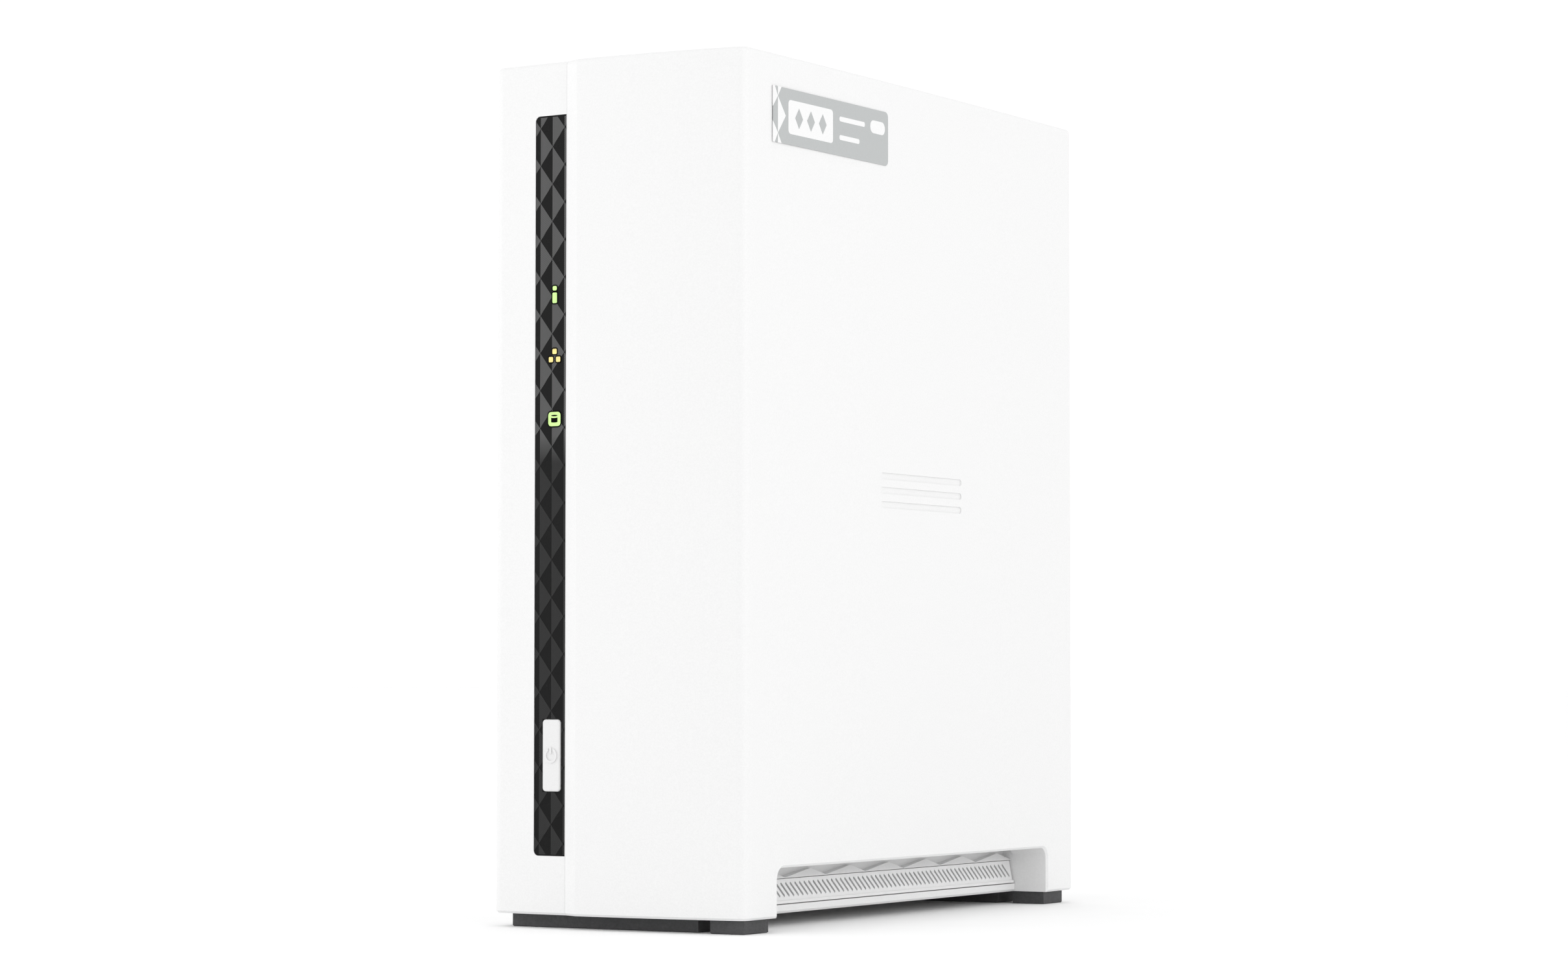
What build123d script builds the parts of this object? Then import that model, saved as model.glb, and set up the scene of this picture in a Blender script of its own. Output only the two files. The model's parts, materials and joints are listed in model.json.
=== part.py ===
from build123d import *
import os
from math import cos, radians, sin, sqrt, tan

# A one-bay network storage unit that stands upright. +X is its right side, the front faces -Y,
# the rear +Y, and Z is up. The origin is on the table under the middle of the unit. Millimetres.

os.makedirs("parts", exist_ok=True)

# ---------------------------------------------------------------- driving dimensions
WIDTH = 66.2
DEPTH = 156.2
HEIGHT = 188.6
HALF_W = WIDTH / 2
HALF_D = DEPTH / 2

FOOT_H = 3.0  # the shells start here
WALL = 2.2
FLOOR_TOP = FOOT_H + 1.85
CEILING = HEIGHT - WALL
INNER_X = 30.2  # both side walls' inner faces
SIDE_CROWN = 0.8  # how far the side faces bow out at mid depth
TOP_ROUND = 1.0
BOTTOM_BEVEL = 0.5
BODY_GAP = 0.1  # between pieces that part from each other

SEAM_X = -12.6  # where the narrow housing meets the wide cover
SEAM_Y = -76.4  # front face of the housing at the seam
FRONT_TILT = 2.9  # the housing's front face turns towards the left by this angle
FACET_X = -9.0  # inner end of the facet beside the seam, the foremost line of the unit
COVER_BOW = (11.0, -77.55)  # a point on the cover's bowed front
NEAR_Y = -75.05  # the cover's front right corner, before it is rounded
LIP_Y = -74.65  # inner face of the thick lip behind the facet
FLOOR_FRONT = -75.1  # front edge of the housing's floor, inside the cover's front wall
FLOOR_SPLIT_X = 19.0  # under the unit the housing's floor ends here and the cover's begins

RECESS_FRONT = -62.1
RECESS_REAR = 64.1
RECESS_TOP = 13.65
RECESS_X = 22.8  # how deep the arch at the foot of the cover reaches
RECESS_WALL = 1.4
GRILLE_TOP = 10.35
LEDGE_TOP = 5.7  # the flat step below the slots
GRILLE_PITCH = 2.0
GRILLE_SLOT = 4.2  # the slots' length along their lean
GRILLE_LEAN = 45.0  # their tops lean towards the front
FOLD_PITCH = 17.75
FOLD_BASE = GRILLE_TOP + 0.15  # the folds start just above the intake strip
FOLD_FOOT = 0.12  # a low strip that joins them
FOLD_PEAK = 12.25  # height of each fold's peak, which stands near its rear end
FOLD_LEAN = 1.0  # how much further in the folds' face is at their peaks
FOLD_DEPTH = 2.3  # the pocket behind the folds, clear of the floor's split

WINDOW_W = 8.6
WINDOW_LOW = 15.75
WINDOW_HIGH = 176.9
WINDOW_T = 1.0
FLUSH = 0.1  # how far the window and the lights sit below the housing's face
ICON_X = -3.2  # measured along the housing's front face from the seam

BUTTON_X = -3.65
BUTTON_Z = 37.45
BUTTON_W = 4.7
BUTTON_H = 15.6
BUTTON_PROUD = 0.3
BUTTON_FLANGE = 2.4  # depth of the retaining flange's front face
SWITCH_Z = 42.0
SPRING_Z = 33.0

LED_BOARD_T = 1.4
LED_BOARD_FACE = 6.6  # depth of its front face behind the housing's front

PANEL_FRONT = 72.9
PANEL_REAR = 75.1

FAN_Z = 145.0
FAN_SIZE = 60.0
FAN_T = 15.0
FAN_BORE = 28.5
FAN_HOLE = 25.0
FAN_SHAFT = 1.5
BLADES = 7
BLADE_PITCH = 38.0

PANEL_SCREWS_Z = (112.0, 180.0)
HOOKS_Z = (24.0, 180.0)
HOOK_X = 24.0

BOARD_X = -27.0
BOARD_FACE = -25.4
BOARD_LOW = (-55.0, 12.0)
BOARD_HIGH = (70.0, 106.0)
CELL_Y = -29.0
CELL_Z = 37.0
BOARD_SCREWS = [(-50, 17), (-50, 101), (48, 101), (48, 17)]

BRACKET_X = 0.9
BRACKET_T = 1.0
BRACKET_POSTS = [(-60, 20), (-60, 178), (53, 181), (46, 113)]

DRIVE_X = 2.5
DRIVE_T = 26.1
DRIVE_W = 101.6
DRIVE_L = 147.0
DRIVE_Y = -52.0
DRIVE_Z = 32.0
DRIVE_MID_Y = DRIVE_Y + DRIVE_W / 2
DRIVE_TOP = DRIVE_Z + DRIVE_L
DRIVE_HOLE_X = DRIVE_X + 6.35
DRIVE_HOLES_Z = (DRIVE_Z + 28.5, DRIVE_Z + 130.1)
SPINDLE_Z = DRIVE_TOP - 52.0
PLATTER_R = 47.5
DISC_PITCH = 5.2
PIVOT_Y = DRIVE_MID_Y + 27.0
PIVOT_Z = SPINDLE_Z - 52.0
ARM_LENGTH = 52.0
ARM_PARKED = 172.4  # direction from the pivot to the heads, counter-clockwise from +Y
LID_X = DRIVE_X + DRIVE_T - 1.5

BASE = (Align.CENTER, Align.CENTER, Align.MIN)

# The housing's front face: x runs right along the face from the seam, y is height, z points out.
FRONT = Plane(
    origin=(SEAM_X, SEAM_Y, 0),
    x_dir=(cos(radians(FRONT_TILT)), -sin(radians(FRONT_TILT)), 0),
    z_dir=(-sin(radians(FRONT_TILT)), -cos(radians(FRONT_TILT)), 0),
)


# ---------------------------------------------------------------- helpers
def save(builder, name):
    """Names a finished piece and writes it."""
    builder.part.label = name
    export_step(builder.part, f"parts/{name}.step")


def block(low, high, mode=Mode.ADD):
    """A block between two opposite corners."""
    size = [b - a for a, b in zip(low, high)]
    with Locations(tuple((a + b) / 2 for a, b in zip(low, high))):
        Box(*size, mode=mode)


def rod(start, direction, radius, length, mode=Mode.ADD):
    """A cylinder that starts at a point and runs along a direction."""
    with Locations(Plane(origin=start, z_dir=direction)):
        Cylinder(radius, length, align=BASE, mode=mode)


def side_x(y):
    """The right side face's X at a depth, on its shallow crown."""
    return HALF_W - SIDE_CROWN * (y / HALF_D) ** 2


def label_point(y, lift):
    """A point on the right side face at a depth, lifted off it a little."""
    return (side_x(y) + lift, y)


def front_y(x):
    """The housing's front face at a width."""
    return SEAM_Y + (SEAM_X - x) * tan(radians(FRONT_TILT))


def out_of_front(point):
    """How far a point stands out of the housing's front face."""
    return (point - FRONT.origin).dot(FRONT.z_dir)


def upright_edge(corner):
    """The vertical edge at a corner of the shell that is being built."""
    middle = (FOOT_H + HEIGHT) / 2
    return edges().filter_by(Axis.Z).sort_by_distance((*corner, middle))[0]


def window_outline(grow=0.0):
    """The strip window: square just short of the seam, and rounded on its left corners."""
    middle = (WINDOW_LOW + WINDOW_HIGH) / 2
    high = WINDOW_HIGH - WINDOW_LOW + 2 * grow
    with Locations((-WINDOW_W / 2, middle)):
        RectangleRounded(WINDOW_W + 2 * grow - 0.3, high, 1.2)
    with Locations((-WINDOW_W / 4 - 0.15 + grow, middle)):
        Rectangle(WINDOW_W / 2, high)


def status_icon(grow, mode):
    """A dot over a bar."""
    with Locations((ICON_X, 139.05)):
        RectangleRounded(1.1 + grow, 0.95 + grow, 0.35, mode=mode)
    with Locations((ICON_X, 136.95)):
        RectangleRounded(1.2 + grow, 2.3 + grow, 0.25, mode=mode)


def network_icon(grow, mode):
    """Three rounded squares, one over two."""
    for across, height in ((0, 125.25), (-0.98, 123.5), (0.98, 123.5)):
        with Locations((ICON_X + across, height)):
            RectangleRounded(1.3 + grow, 1.3 + grow, 0.35, mode=mode)


def drive_icon(grow, mode):
    """A rounded tile."""
    with Locations((ICON_X, 110.5)):
        RectangleRounded(3.4 + grow, 3.2 + grow, 0.85, mode=mode)


def arm_plane(x):
    """The head arm's plane at a width: local x runs from its pivot towards its heads."""
    return Plane(
        origin=(x, PIVOT_Y, PIVOT_Z),
        x_dir=(0, cos(radians(ARM_PARKED)), sin(radians(ARM_PARKED))),
        z_dir=(1, 0, 0),
    )


# name, icon, height of the light's middle
LIGHTS = [
    ("light_pipe_status", status_icon, 137.7),
    ("light_pipe_network", network_icon, 124.4),
    ("light_pipe_drive", drive_icon, 110.5),
]
PIPE_SIZE = (4.0, 5.2)
PIPE_BACK = 5.8


# ---------------------------------------------------------------- shells
with BuildPart() as main_housing:
    # the narrow left shell, then the floor that carries on under the cover
    with BuildSketch(Plane.XY.offset(FOOT_H)):
        left = -side_x(HALF_D)
        with BuildLine():
            Line((SEAM_X, SEAM_Y), (left, front_y(left)))
            ThreePointArc((left, front_y(left)), (-HALF_W, 0), (left, HALF_D))
            Polyline((left, HALF_D), (SEAM_X, HALF_D), (SEAM_X, SEAM_Y))
        make_face()
    extrude(amount=HEIGHT - FOOT_H)
    fillet(upright_edge((left, front_y(left))), 2.5)
    outer = edges().filter_by(lambda e: e.center().X < SEAM_X - 1)
    fillet(outer.group_by(Axis.Z)[-1], TOP_ROUND)
    chamfer(outer.group_by(Axis.Z)[0], BOTTOM_BEVEL)
    with BuildSketch(Plane.XY.offset(FLOOR_TOP)):
        wall = WALL / cos(radians(FRONT_TILT))
        with BuildLine():
            Polyline(
                (-INNER_X, front_y(-INNER_X) + wall),
                (SEAM_X + 1, front_y(SEAM_X + 1) + wall),
                (SEAM_X + 1, HALF_D + 1),
                (-INNER_X, HALF_D + 1),
                close=True,
            )
        make_face()
    extrude(amount=CEILING - FLOOR_TOP, mode=Mode.SUBTRACT)
    block((SEAM_X, FLOOR_FRONT, FOOT_H), (FLOOR_SPLIT_X, HALF_D, FLOOR_TOP))
    block((FLOOR_SPLIT_X, RECESS_FRONT + 0.15, FOOT_H), (RECESS_X + 1.0, RECESS_REAR - 0.15, FLOOR_TOP))
    strip = edges().filter_by(Axis.Y).filter_by(lambda e: e.center().X > RECESS_X)
    chamfer(strip.sort_by(Axis.Z)[0], BOTTOM_BEVEL)
    # the window's seat, the holes behind the lights and the button's passage
    with BuildSketch(FRONT.offset(-WINDOW_T)):
        window_outline(0.05)
    extrude(amount=WINDOW_T + 1, mode=Mode.SUBTRACT)
    with BuildSketch(FRONT.offset(-WALL - 1)):
        for _, _, height in LIGHTS:
            with Locations((ICON_X, height)):
                Rectangle(PIPE_SIZE[0] + 0.1, PIPE_SIZE[1] + 0.1)
        with Locations((BUTTON_X, BUTTON_Z)):
            RectangleRounded(BUTTON_W + 0.2, BUTTON_H + 0.2, 0.9)
    extrude(amount=WALL + 2, mode=Mode.SUBTRACT)
    # posts for the front board, the main board, the bracket and the rear panel
    with BuildSketch(FRONT.offset(-LED_BOARD_FACE)):
        with Locations((-9.6, 60), (-9.6, 118)):
            Circle(1.9)
            Circle(0.8, mode=Mode.SUBTRACT)
    extrude(amount=LED_BOARD_FACE - WALL + 0.1)
    for y, z in BOARD_SCREWS:
        rod((-INNER_X - 0.5, y, z), (1, 0, 0), 2.6, BOARD_X + INNER_X + 0.5)
        rod((BOARD_X, y, z), (-1, 0, 0), 1.15, 3.0, Mode.SUBTRACT)
    for y, z in BRACKET_POSTS:
        rod((-INNER_X - 0.5, y, z), (1, 0, 0), 3.2, BRACKET_X + INNER_X + 0.5)
        rod((BRACKET_X, y, z), (-1, 0, 0), 1.25, 6.0, Mode.SUBTRACT)
    for z in PANEL_SCREWS_Z:
        block((-INNER_X - 0.5, PANEL_FRONT - 8, z - 3), (-INNER_X + 6, PANEL_FRONT, z + 3))
        rod((-INNER_X + 3, PANEL_FRONT, z), (0, -1, 0), 1.15, 6.0, Mode.SUBTRACT)
save(main_housing, "main_housing")

with BuildPart() as case_cover:
    # the wide right shell: facet, bowed front, crowned side
    near_corner = (side_x(-HALF_D) - 0.1, NEAR_Y)
    with BuildSketch(Plane.XY.offset(FOOT_H)):
        seam = SEAM_X + BODY_GAP
        with BuildLine():
            Line((seam, SEAM_Y - 0.1), (FACET_X, -HALF_D))
            ThreePointArc((FACET_X, -HALF_D), COVER_BOW, near_corner)
            ThreePointArc(near_corner, (HALF_W, 0), (side_x(HALF_D), HALF_D))
            Polyline((side_x(HALF_D), HALF_D), (seam, HALF_D), (seam, SEAM_Y - 0.1))
        make_face()
    extrude(amount=HEIGHT - FOOT_H)
    fillet(upright_edge(near_corner), 2.4)
    fillet(upright_edge((side_x(HALF_D), HALF_D)), 1.2)
    fillet(upright_edge((FACET_X, -HALF_D)), 0.8)
    outer = edges().filter_by(lambda e: e.center().X > SEAM_X + 1)
    fillet(outer.group_by(Axis.Z)[-1], TOP_ROUND)
    chamfer(outer.group_by(Axis.Z)[0], BOTTOM_BEVEL)
    # hollow it, leaving a thick lip behind the facet
    with BuildSketch(Plane.XY.offset(FLOOR_TOP)):
        with BuildLine():
            Polyline(
                (SEAM_X - 1, LIP_Y),
                (FACET_X - 0.9, LIP_Y),
                (FACET_X + 0.6, LIP_Y - 1.1),
                (COVER_BOW[0], COVER_BOW[1] + WALL + 0.2),
                (INNER_X, NEAR_Y + WALL),
                (INNER_X, HALF_D + 1),
                (SEAM_X - 1, HALF_D + 1),
                close=True,
            )
        make_face()
    extrude(amount=CEILING - FLOOR_TOP, mode=Mode.SUBTRACT)
    block(
        (SEAM_X - 1, FLOOR_FRONT - BODY_GAP, FOOT_H - 1),
        (FLOOR_SPLIT_X + BODY_GAP, HALF_D + 1, FLOOR_TOP),
        Mode.SUBTRACT,
    )
    # the arch at the foot of the side, with its pocket
    wall_low = (RECESS_X - FOLD_DEPTH - RECESS_WALL, RECESS_FRONT - RECESS_WALL, FOOT_H)
    wall_high = (INNER_X + 0.5, RECESS_REAR + RECESS_WALL, RECESS_TOP + RECESS_WALL)
    block(wall_low, wall_high)
    with BuildSketch(Plane.YZ.offset(RECESS_X)):
        with Locations(((RECESS_FRONT + RECESS_REAR) / 2, 0)):
            RectangleRounded(RECESS_REAR - RECESS_FRONT, 2 * RECESS_TOP, 2.6)
    extrude(amount=HALF_W, mode=Mode.SUBTRACT)
    block(
        (SEAM_X, RECESS_FRONT, FOOT_H - 1),
        (RECESS_X + 0.1, RECESS_REAR, FOLD_BASE),
        Mode.SUBTRACT,
    )
    arch = edges().filter_by(lambda e: e.center().X > HALF_W - 1 and e.center().Z < RECESS_TOP + 0.5)
    arch = arch.filter_by(lambda e: RECESS_FRONT - 0.5 < e.center().Y < RECESS_REAR + 0.5)
    chamfer(arch.filter_by(lambda e: e.center().Z > FOOT_H + 1), 0.5)
    # folds above the intake: one zigzag row of leaning triangles in front of a deeper pocket
    block(
        (RECESS_X - FOLD_DEPTH, RECESS_FRONT, FOLD_BASE),
        (RECESS_X + 0.1, RECESS_REAR, RECESS_TOP - 0.3),
        Mode.SUBTRACT,
    )
    zigzag = [(RECESS_FRONT - 0.5, FOLD_BASE), (RECESS_REAR + 0.5, FOLD_BASE)]
    zigzag.append((RECESS_REAR + 0.5, FOLD_BASE + FOLD_FOOT))
    for number in range(7):
        rear = RECESS_REAR - number * FOLD_PITCH
        zigzag += [(rear, FOLD_BASE + FOLD_FOOT), (rear - 5.3, FOLD_PEAK)]
    zigzag.append((RECESS_REAR - 7 * FOLD_PITCH, FOLD_BASE + FOLD_FOOT))
    zigzag.append((RECESS_FRONT - 0.5, FOLD_BASE + FOLD_FOOT))
    with BuildSketch(Plane.YZ.offset(RECESS_X - FOLD_DEPTH - RECESS_WALL / 2)):
        with BuildLine():
            Polyline(*zigzag, close=True)
        make_face()
    extrude(amount=FOLD_DEPTH + RECESS_WALL / 2 - 0.2)
    with BuildSketch(Plane.XZ.offset(-RECESS_REAR)):
        with BuildLine():
            Polyline(
                (RECESS_X - 0.2, FOLD_BASE + FOLD_FOOT / 2),
                (RECESS_X + 0.3, FOLD_BASE + FOLD_FOOT / 2),
                (RECESS_X + 0.3, FOLD_PEAK + 0.1),
                (RECESS_X - 0.2 - FOLD_LEAN, FOLD_PEAK + 0.1),
                close=True,
            )
        make_face()
    extrude(amount=RECESS_REAR - RECESS_FRONT, mode=Mode.SUBTRACT)
    # hooks for the rear screws: open towards the seam, so the cover pulls straight off
    for z in HOOKS_Z:
        block((20.0, PANEL_REAR + 0.05, z - 4), (INNER_X + 0.5, PANEL_REAR + 1.2, z + 4))
        with BuildSketch(Plane.XZ.offset(-PANEL_REAR - 1.3)):
            with Locations((HOOK_X, z)):
                Circle(1.7)
            with Locations((HOOK_X - 4, z)):
                Rectangle(8, 3.4)
        extrude(amount=1.4, mode=Mode.SUBTRACT)
    # a plain sunk ornament on the side: three level lines
    with BuildSketch(Plane.YZ.offset(HALF_W - 0.35)):
        with Locations((0.8, 96.25)):
            with GridLocations(0, 3.2, 1, 3):
                SlotOverall(38.0, 1.5)
    extrude(amount=1, mode=Mode.SUBTRACT)
save(case_cover, "case_cover")

with BuildPart() as side_label:
    # a thin label that follows the crown of the side
    front, rear = -64.65, -15.1
    with BuildSketch(Plane.XY.offset(169.3)):
        with BuildLine():
            for lift in (0.02, 0.14):
                ThreePointArc(*(label_point(y, lift) for y in (front, (front + rear) / 2, rear)))
            for y in (front, rear):
                Line(label_point(y, 0.02), label_point(y, 0.14))
        make_face()
    extrude(amount=12.1)
    fillet(edges().filter_by(Axis.X), 1.2)
save(side_label, "side_label")

with BuildPart() as vent_grille:
    # the intake strip in the arch: a ledge over a dark gap, a leaning face with slots, a back rail
    length = RECESS_REAR - RECESS_FRONT - 1.0
    start = RECESS_REAR - 0.5
    gap = FLOOR_TOP + 0.22
    with BuildSketch(Plane.XZ.offset(-start)):
        with BuildLine():
            Polyline(
                (16.0, FLOOR_TOP),
                (RECESS_X - 0.6, FLOOR_TOP),
                (RECESS_X - 0.6, gap),
                (RECESS_X + 0.9, gap),
                (RECESS_X + 0.9, LEDGE_TOP),
                (RECESS_X + 0.5, LEDGE_TOP),
                (RECESS_X - 0.35, GRILLE_TOP),
                (RECESS_X - 1.3, GRILLE_TOP),
                (RECESS_X - 0.6, LEDGE_TOP + 0.7),
                (16.0, LEDGE_TOP + 0.7),
                close=True,
            )
        make_face()
    extrude(amount=length)
    slots = int(length / GRILLE_PITCH) - 1
    with BuildSketch(Plane.YZ.offset(RECESS_X + 2)):
        with Locations((start - length / 2, (LEDGE_TOP + GRILLE_TOP) / 2)):
            with GridLocations(GRILLE_PITCH, 0, slots, 1):
                SlotOverall(GRILLE_SLOT, 0.6, rotation=90 + GRILLE_LEAN)
    extrude(amount=-4, mode=Mode.SUBTRACT)
save(vent_grille, "vent_grille")

with BuildPart() as rear_panel:
    # the plate that closes the back, with the fan grille and the ports
    block((-INNER_X, PANEL_FRONT, FLOOR_TOP), (INNER_X - 0.15, PANEL_REAR, CEILING - 0.2))
    block(
        (FLOOR_SPLIT_X - 0.1, PANEL_FRONT - 1, 0),
        (INNER_X, PANEL_REAR + 1, FLOOR_TOP + 0.2),
        Mode.SUBTRACT,
    )
    with BuildSketch(Plane.XZ.offset(-PANEL_REAR - 1)):
        for row in range(-5, 6):
            reach = sqrt(26.5**2 - (row * 4.7) ** 2)
            with Locations((0, FAN_Z + row * 4.7)):
                SlotOverall(2 * reach, 2.9)
        with Locations((0, FAN_Z)):
            Circle(9.5, mode=Mode.SUBTRACT)
            Rectangle(2.4, 60, mode=Mode.SUBTRACT)
            with GridLocations(2 * FAN_HOLE, 2 * FAN_HOLE, 2, 2):
                Circle(2.3)
        with Locations((-18.65, 52)):
            Rectangle(13.9, 16.4)
        for z in (75.3, 95.3):
            with Locations((-21.9, z)):
                RectangleRounded(7.4, 15.0, 0.8)
        with Locations((-19.9, 26.5)):
            RectangleRounded(11.4, 9.4, 0.5)
        with Locations((-23.0, 36.5)):
            Circle(0.9)
        with Locations((21.5, 52)):
            SlotOverall(7.0, 3.0, rotation=90)
        for z in PANEL_SCREWS_Z:
            with Locations((3 - INNER_X, z)):
                Circle(1.15)
        for z in HOOKS_Z:
            with Locations((HOOK_X, z)):
                Circle(1.25)
    extrude(amount=WALL + 2, mode=Mode.SUBTRACT)
save(rear_panel, "rear_panel")

# feet: two long ones under the housing and two short ones under the cover
FEET = [
    ("front_long_foot", (-29.2, -72.0), (18.6, -64.0)),
    ("rear_long_foot", (-29.2, 65.0), (18.6, 73.0)),
    ("front_short_foot", (22.7, -73.8), (31.1, -63.9)),
    ("rear_short_foot", (22.7, 64.9), (31.1, 74.6)),
]
for name, low, high in FEET:
    with BuildPart() as foot:
        block((*low, 0), (*high, FOOT_H))
        chamfer(foot.edges().group_by(Axis.Z)[0], 0.2)
    save(foot, name)

# ---------------------------------------------------------------- front: window, lights, button
with BuildPart() as strip_window:
    with BuildSketch(FRONT.offset(-WINDOW_T)):
        window_outline()
        for _, icon, _ in LIGHTS:
            icon(0.06, Mode.SUBTRACT)
        with Locations((BUTTON_X, BUTTON_Z)):
            RectangleRounded(BUTTON_W + 0.2, BUTTON_H + 0.2, 0.9, mode=Mode.SUBTRACT)
    extrude(amount=WINDOW_T - FLUSH)
save(strip_window, "strip_window")

for name, icon, height in LIGHTS:
    with BuildPart() as light_pipe:
        with BuildSketch(FRONT.offset(-WINDOW_T)):
            icon(0.0, Mode.ADD)
        extrude(amount=WINDOW_T - FLUSH)
        with BuildSketch(FRONT.offset(-PIPE_BACK)):
            with Locations((ICON_X, height)):
                Rectangle(*PIPE_SIZE)
        extrude(amount=PIPE_BACK - WINDOW_T)
    save(light_pipe, name)

with BuildPart() as power_button:
    # cap, retaining flange, plunger for the switch and a pin for the spring
    with BuildSketch(FRONT.offset(-BUTTON_FLANGE)):
        with Locations((BUTTON_X, BUTTON_Z)):
            RectangleRounded(BUTTON_W, BUTTON_H, 0.8)
    extrude(amount=BUTTON_FLANGE + BUTTON_PROUD)
    fillet(edges().filter_by(lambda e: out_of_front(e.center()) > BUTTON_PROUD - 0.01), 0.35)
    with BuildSketch(FRONT.offset(-BUTTON_FLANGE)):
        with Locations((BUTTON_X, BUTTON_Z)):
            Rectangle(BUTTON_W + 1.0, BUTTON_H + 1.6)
    extrude(amount=-1.4)
    with BuildSketch(FRONT.offset(-BUTTON_FLANGE - 1.4)):
        with Locations((BUTTON_X, SWITCH_Z)):
            Circle(1.0)
    extrude(amount=-0.2)
    with BuildSketch(FRONT.offset(BUTTON_PROUD)):
        with Locations((BUTTON_X, BUTTON_Z)):
            Circle(1.65)
            Circle(1.15, mode=Mode.SUBTRACT)
            with Locations((0, 1.2)):
                Rectangle(1.2, 1.6, mode=Mode.SUBTRACT)
            with Locations((0, 1.05)):
                SlotOverall(1.5, 0.46, rotation=90)
    extrude(amount=0.25)
save(power_button, "power_button")

with BuildPart() as power_spring:
    # an open coil on the flange's back, squeezed against the front board
    spring_room = LED_BOARD_FACE - BUTTON_FLANGE - 1.4
    spring_seat = FRONT.offset(-BUTTON_FLANGE - 1.4 - 0.2)
    with BuildLine():
        coil = Helix(
            pitch=0.7,
            height=spring_room - 0.4,
            radius=1.5,
            center=spring_seat.from_local_coords((BUTTON_X, SPRING_Z, 0)),
            direction=-FRONT.z_dir,
        )
    with BuildSketch(Plane(origin=coil @ 0, z_dir=coil % 0)):
        Circle(0.15)
    sweep(path=coil)
save(power_spring, "power_spring")

with BuildPart() as front_board:
    with BuildSketch(FRONT.offset(-LED_BOARD_FACE)):
        with Locations((-6.4, 88)):
            Rectangle(10.4, 124)
        with Locations((-9.6, 60), (-9.6, 118)):
            Circle(0.9, mode=Mode.SUBTRACT)
    extrude(amount=-LED_BOARD_T)
save(front_board, "front_board")

with BuildPart() as front_board_screws:
    with BuildSketch(FRONT.offset(-LED_BOARD_FACE - LED_BOARD_T)):
        with Locations((-9.6, 60), (-9.6, 118)):
            Circle(1.5)
    extrude(amount=-1.1)
    with BuildSketch(FRONT.offset(-LED_BOARD_FACE - LED_BOARD_T)):
        with Locations((-9.6, 60), (-9.6, 118)):
            Circle(0.77)
    extrude(amount=4.5)
save(front_board_screws, "front_board_screws")

with BuildPart() as status_lights:
    # one small lamp behind each light pipe
    with BuildSketch(FRONT.offset(-LED_BOARD_FACE)):
        for _, _, height in LIGHTS:
            with Locations((ICON_X, height)):
                Rectangle(1.6, 2.4)
    extrude(amount=0.6)
save(status_lights, "status_lights")

with BuildPart() as power_switch:
    with BuildSketch(FRONT.offset(-LED_BOARD_FACE)):
        with Locations((BUTTON_X, SWITCH_Z)):
            Rectangle(5.0, 5.0)
    extrude(amount=1.5)
    with BuildSketch(FRONT.offset(-LED_BOARD_FACE + 1.5)):
        with Locations((BUTTON_X, SWITCH_Z)):
            Circle(1.0)
    extrude(amount=0.25)
save(power_switch, "power_switch")

# ---------------------------------------------------------------- main board and what it carries
with BuildPart() as main_board:
    block((BOARD_X, BOARD_LOW[0], BOARD_LOW[1]), (BOARD_FACE, BOARD_HIGH[0], BOARD_HIGH[1]))
    for y, z in BOARD_SCREWS:
        rod((BOARD_X - 1, y, z), (1, 0, 0), 1.6, 4, Mode.SUBTRACT)
save(main_board, "main_board")

with BuildPart() as board_screws:
    for y, z in BOARD_SCREWS:
        rod((BOARD_FACE, y, z), (1, 0, 0), 2.6, 1.7)
        rod((BOARD_FACE, y, z), (-1, 0, 0), 1.1, 4.2)
        with BuildSketch(Plane(origin=(BOARD_FACE + 1.7, y, z), z_dir=(1, 0, 0))):
            Rectangle(3.2, 0.6)
            Rectangle(0.6, 3.2)
        extrude(amount=-0.8, mode=Mode.SUBTRACT)
save(board_screws, "board_screws")

with BuildPart() as processor:
    block((BOARD_FACE, -9, 61), (BOARD_FACE + 1.4, 9, 79))
save(processor, "processor")

with BuildPart() as heat_sink:
    block((BOARD_FACE + 1.4, -16, 54), (BOARD_FACE + 3.4, 16, 86))
    for number in range(9):
        rear = -16 + number * 3.85
        block((BOARD_FACE + 3.4, rear, 54), (BOARD_FACE + 13.4, rear + 1.2, 86))
save(heat_sink, "heat_sink")

with BuildPart() as memory_chips:
    for z in (58, 72):
        block((BOARD_FACE, -36, z), (BOARD_FACE + 1.1, -24, z + 9))
save(memory_chips, "memory_chips")

with BuildPart() as flash_chip:
    block((BOARD_FACE, -35, 86), (BOARD_FACE + 1.2, -22, 97))
save(flash_chip, "flash_chip")

with BuildPart() as capacitors:
    for y, z in ((24, 28), (34, 28), (24, 40), (34, 40)):
        rod((BOARD_FACE, y, z), (1, 0, 0), 3.1, 8.0)
    tops = edges().filter_by(GeomType.CIRCLE).group_by(Axis.X)[-1]
    fillet(tops, 0.4)
save(capacitors, "capacitors")

with BuildPart() as power_coils:
    for y, z in ((46, 62), (46, 74)):
        block((BOARD_FACE, y - 3.5, z - 3.5), (BOARD_FACE + 4, y + 3.5, z + 3.5))
    chamfer(edges().filter_by(Axis.X), 0.8)
save(power_coils, "power_coils")

with BuildPart() as cell_holder:
    rod((BOARD_FACE, CELL_Y, CELL_Z), (1, 0, 0), 11.6, 3.4)
    rod((BOARD_FACE + 0.6, CELL_Y, CELL_Z), (1, 0, 0), 10.1, 3.4, Mode.SUBTRACT)
    block(
        (BOARD_FACE + 0.6, CELL_Y - 3, CELL_Z - 12),
        (BOARD_FACE + 4, CELL_Y + 3, CELL_Z - 8),
        Mode.SUBTRACT,
    )
save(cell_holder, "cell_holder")

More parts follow.
